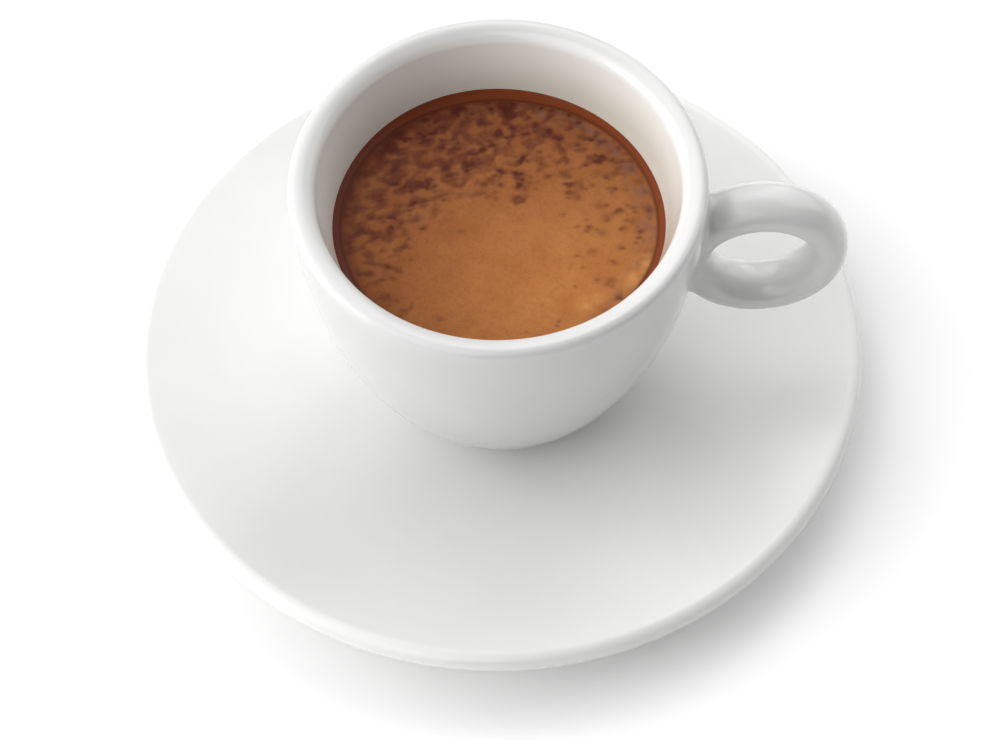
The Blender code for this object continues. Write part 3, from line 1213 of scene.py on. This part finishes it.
@dataclass
class Crema:
    """The foam on the coffee: a disc with a climbing edge, flecks, froth and small pits."""

    cup: Cup
    level: float = 45.05 * MM  # of its level part
    climb: float = 0.08 * MM  # how much higher it stands at the wall all round
    back_climb: float = 0.68 * MM  # and besides at the back
    back_turn: float = math.radians(115.0)  # direction of that climb
    side_climb: float = 0.6 * MM  # and besides on each side
    side_turn: float = math.radians(76.0)  # angle of that climb from the front
    side_reach: float = math.radians(22.0)  # angle over which it fades
    climb_reach: float = 0.55 * MM  # distance from the wall over which the climb fades
    underside: float = 42.4 * MM
    edge_drop: float = 0.1 * MM  # from the level part to the side's upper line
    sunk: float = 0.2 * MM  # how far it reaches into the wall
    grid: int = 301  # points along each side of the square grid
    lit_place: complex = (11.0 - 14.0j) * MM  # middle of the palest foam, where the painted shade is least
    shade_spread: Pair = (4.0 * MM, 36.0 * MM)  # distances from there over which painted shade darkens the foam
    shade_veil: float = 0.50  # share of the veil given as painted shade far from there
    fleck_veil: float = 0.46  # and where flecks crowd
    swells: Pattern = Pattern(cell=9.0 * MM, seed=23, shift=5 + 5j, layers=2)
    swell_height: float = 0.04 * MM
    bubbles: Pattern = Pattern(cell=0.6 * MM, seed=31, layers=2)
    bubble_height: float = 0.01 * MM
    fleck_depth: float = 0.03 * MM  # of the flecks, and the height of the froth
    fleck_start: float = 0.5 * MM  # distance from the ring over which flecks set in
    relief_start: Pair = (-0.2 * MM, 1.2 * MM)  # distances from the ring over which relief sets in
    flecks: Flecks = Flecks()
    froth: Froth = Froth()
    pits: Pits = Pits()
    wall_ring: WallRing = WallRing()
    finish: CremaFinish = CremaFinish()

    def __post_init__(self) -> None:
        """Works out how far from the axis the crema meets the wall where it stands highest."""
        highest = self.level + self.climb + max(self.back_climb, self.side_climb)
        self.edge_radius = float(self.cup.inner_radius(highest))

    def climb_at(self, turn: Array) -> Array:
        """How much higher the edge stands than the level part.

        It is even all round, with a broad rise at the back, the facing of that side to the
        fourth power, and a bell on each side towards the front.

        Args:
            turn: Angles round the cup.

        Returns:
            The climb at each angle.
        """
        back = self.back_climb * facing(turn, self.back_turn) ** 4
        from_front = np.arccos(np.clip(-np.sin(turn), -1, 1))
        return self.climb + back + self.side_climb * bell(from_front - self.side_turn, self.side_reach)

    def disc(self) -> Places:
        """Places on the disc from a square grid, each square ring of it going to a circle.

        The larger of the two grid values is the radius, and their quotient gives the angle
        within a quarter turn.

        Returns:
            The places, on the grid.
        """
        side = np.linspace(-1, 1, self.grid)
        across, along = np.meshgrid(side, side)
        wide = np.abs(across) > np.abs(along)
        reach = np.where(wide, across, along)
        safe = np.where(reach == 0, 1, reach)
        point = np.exp(1j * QUARTER_TURN / 2 * np.where(wide, along, across) / safe)
        return reach * (self.edge_radius + self.sunk) * np.where(wide, point, 1j * point.conj())

    def build(self) -> None:
        """Makes the crema."""
        place = self.disc()
        turn = np.angle(place)
        climb = self.climb_at(turn)
        inset = self.cup.inner_radius(self.level + climb) - np.abs(place)
        width = self.wall_ring.width_at(turn)
        crowd, froth = self.flecks.crowd(place), self.froth.share(place)
        flecks = self.flecks.share(place, crowd, self.edge_radius)
        flecks = flecks * eased(inset - width, 0, self.fleck_start)

        relief = self.swell_height * self.swells.at(place) + self.bubble_height * self.bubbles.at(place)
        relief += self.fleck_depth * (froth - flecks) - self.pits.depth(place, self.edge_radius)
        relief *= eased(inset - width, *self.relief_start)
        edge = climb * np.exp(-np.maximum(inset, 0) / self.climb_reach)
        piece = self.solid(place, self.level + edge + relief).piece("crema_foam")

        values = self.wall_ring.paint(inset, turn, width)
        # Painted shade: the foam darker away from its lit middle, through the veil
        foam_shade = self.shade_veil * eased(np.abs(place - self.lit_place), *self.shade_spread)
        values[Paint.VEIL] = np.max([values[Paint.VEIL], foam_shade, self.fleck_veil * crowd], axis=0)
        values.update({Paint.FLECK: flecks, Paint.FROTH: self.froth.strength * froth})
        self.paint(piece.data, values)
        dress(piece, self.finish.material("crema_foam"), "crema")

    def solid(self, place: Places, height: Array) -> Surface:
        """Closes the disc with a side that follows the cup's wall and with a lower face.

        Args:
            place: Places of the top, on the square grid.
            height: Heights of the top.

        Returns:
            The closed surface, its faces pointing out.
        """
        axis_x = self.cup.axis_x
        number = np.arange(place.size).reshape(place.shape)
        rim = np.concatenate((number[0, :-1], number[:-1, -1], number[-1, :0:-1], number[:0:-1, 0]))
        turn = np.angle(place.ravel()[rim])
        levels = np.linspace(self.level - self.edge_drop, self.underside, 5)[:, None]
        reach = self.cup.inner_radius(levels) + self.sunk
        top = joined(place.real + axis_x, place.imag, height)
        side = joined(axis_x + reach * np.cos(turn), reach * np.sin(turn), levels)
        below = len(top) + np.arange(len(side)).reshape(len(levels), len(rim))
        points = np.vstack((top, side, [axis_x, 0, self.underside]))
        lower = flipped(fan(len(points) - 1, below[-1]))
        return Surface(points, [squares(number), tube(np.vstack((rim, below))), lower])

    @staticmethod
    def paint(mesh: bpy.types.Mesh, values: dict[Paint, Array]) -> None:
        """Stores values at the mesh's points.

        Args:
            mesh: The crema's mesh, its first points being those of the top.
            values: Values of the top. Its side and lower face take 1 for the ring, else 0.
        """
        for paint, value in values.items():
            stored = np.full(len(mesh.vertices), float(paint is Paint.RING), np.float32)
            stored[: value.size] = value.ravel()
            mesh.attributes.new(paint.value, "FLOAT", "POINT").data.foreach_set("value", stored)


# Studio


def looking_at(target: Triple, azimuth: float, rise: float, away: float, roll: float = 0.0) -> Matrix:
    """Place of a lamp or camera whose own -Z axis points at a target.

    It is moved back from the target along its own axis, rolled about that axis, tilted to its
    elevation and turned to its azimuth, in that order.

    Args:
        target: The place that it faces.
        azimuth: Direction from the target, in radians from +X.
        rise: Elevation over the target, in radians.
        away: Distance from the target.
        roll: Turn about its own axis, in radians.

    Returns:
        The place as a matrix.
    """
    turned_to = Matrix.Rotation(azimuth + QUARTER_TURN, 4, "Z")
    tilted = Matrix.Rotation(QUARTER_TURN - rise, 4, "X")
    rolled_back = Matrix.Rotation(roll, 4, "Z") @ Matrix.Translation((0.0, 0.0, away))
    return Matrix.Translation(target) @ turned_to @ tilted @ rolled_back


@dataclass(frozen=True)
class Softbox:
    """A square lamp that faces the cup."""

    name: str
    azimuth: float  # degrees from +X towards +Y
    elevation: float  # degrees above the table
    power: float  # in watts
    size: float = 2.0  # length of its sides
    distance: float = 1.8  # from the place that it faces
    aim: float = 30.0 * MM  # height of that place

    def build(self) -> None:
        """Hangs the lamp."""
        lamp = bpy.data.lights.new(self.name, "AREA")
        lamp.shape = "SQUARE"
        lamp.size = self.size
        lamp.energy = self.power
        hung = bpy.data.objects.new(self.name, lamp)
        bpy.context.scene.collection.objects.link(hung)
        turn, rise = math.radians(self.azimuth), math.radians(self.elevation)
        hung.matrix_world = looking_at((0.0, 0.0, self.aim), turn, rise, self.distance)


@dataclass
class Studio:
    """White table, soft light and the camera."""

    room_light: float = 0.02  # strength of the even light
    lamps: tuple[Softbox, ...] = (
        Softbox("right_softbox", 0.0, 38.0, power=3.0),
        Softbox("back_right_low_softbox", 45.0, 22.0, power=6.0),
        Softbox("back_right_softbox", 45.0, 38.0, power=15.5),
        Softbox("back_softbox", 90.0, 38.0, power=10.2),
        Softbox("back_left_far_softbox", 135.0, 38.0, power=8.4),
        Softbox("back_left_softbox", 135.0, 56.0, power=9.0),
        Softbox("left_high_softbox", 180.0, 56.0, power=6.3),
        Softbox("left_softbox", 180.0, 8.0, power=39.0),
        Softbox("front_left_softbox", 225.0, 38.0, power=22.0),
    )
    table_colour: Colour = (0.93, 0.93, 0.93)
    table_cloud: float = 1.01  # how much lighter the table's clouds are
    table_reach: float = 3.0  # half the table's side
    camera_rise: float = math.radians(57.49)
    camera_distance: float = 470.24 * MM
    camera_target: Triple = (0.25 * MM, 0.0, 2.49 * MM)
    camera_roll: float = math.radians(-1.41)  # about its own axis
    focal_share: float = 2.8  # focal length over the picture's width

    def table(self) -> None:
        """Lays a level white table under the saucer."""
        place = np.linspace(-self.table_reach, self.table_reach, 9)
        x, y = np.meshgrid(place, place)
        number = np.arange(x.size).reshape(x.shape)
        table = Surface(joined(x, y, 0.0), [squares(number)]).piece("white_table")
        shader = Shader("white_table")
        clouds = shader.ranged(shader.noise(scale=6.0), MOST_NOISE)
        light = tuple(self.table_cloud * part for part in self.table_colour)
        shader.set(Base_Color=shader.mixed(clouds, self.table_colour, light), Roughness=0.8)
        table.data.materials.append(shader.material)

    def room(self) -> None:
        """Lights the scene evenly with white light from all round."""
        world = bpy.data.worlds.new("white_room")
        world.use_nodes = True
        background = world.node_tree.nodes["Background"]
        background.inputs["Color"].default_value = (1.0, 1.0, 1.0, 1.0)
        background.inputs["Strength"].default_value = self.room_light
        bpy.context.scene.world = world

    def camera(self) -> None:
        """Sets up the camera at the photograph's angle, over -Y."""
        data = bpy.data.cameras.new("camera")
        data.sensor_width = 36.0
        data.lens = data.sensor_width * self.focal_share
        data.clip_start = 0.01
        data.clip_end = 20.0
        camera = bpy.data.objects.new("camera", data)
        bpy.context.scene.collection.objects.link(camera)
        camera.matrix_world = looking_at(
            self.camera_target, -QUARTER_TURN, self.camera_rise, self.camera_distance, self.camera_roll
        )
        bpy.context.scene.camera = camera

    def build(self) -> None:
        """Sets up the table, the light, the camera and plain colours in the picture."""
        self.table()
        self.room()
        for lamp in self.lamps:
            lamp.build()
        self.camera()
        bpy.context.scene.view_settings.view_transform = "Standard"


def main() -> None:
    """Builds the saucer, the cup, the coffee, the crema and the studio."""
    logging.basicConfig(level=logging.INFO, format="%(message)s", stream=sys.stdout)
    cup = Cup()
    for part in (Saucer(), cup, Espresso(cup), Crema(cup)):
        part.build()
    Studio().build()
    bpy.context.view_layer.update()


if __name__ == "__main__":
    main()
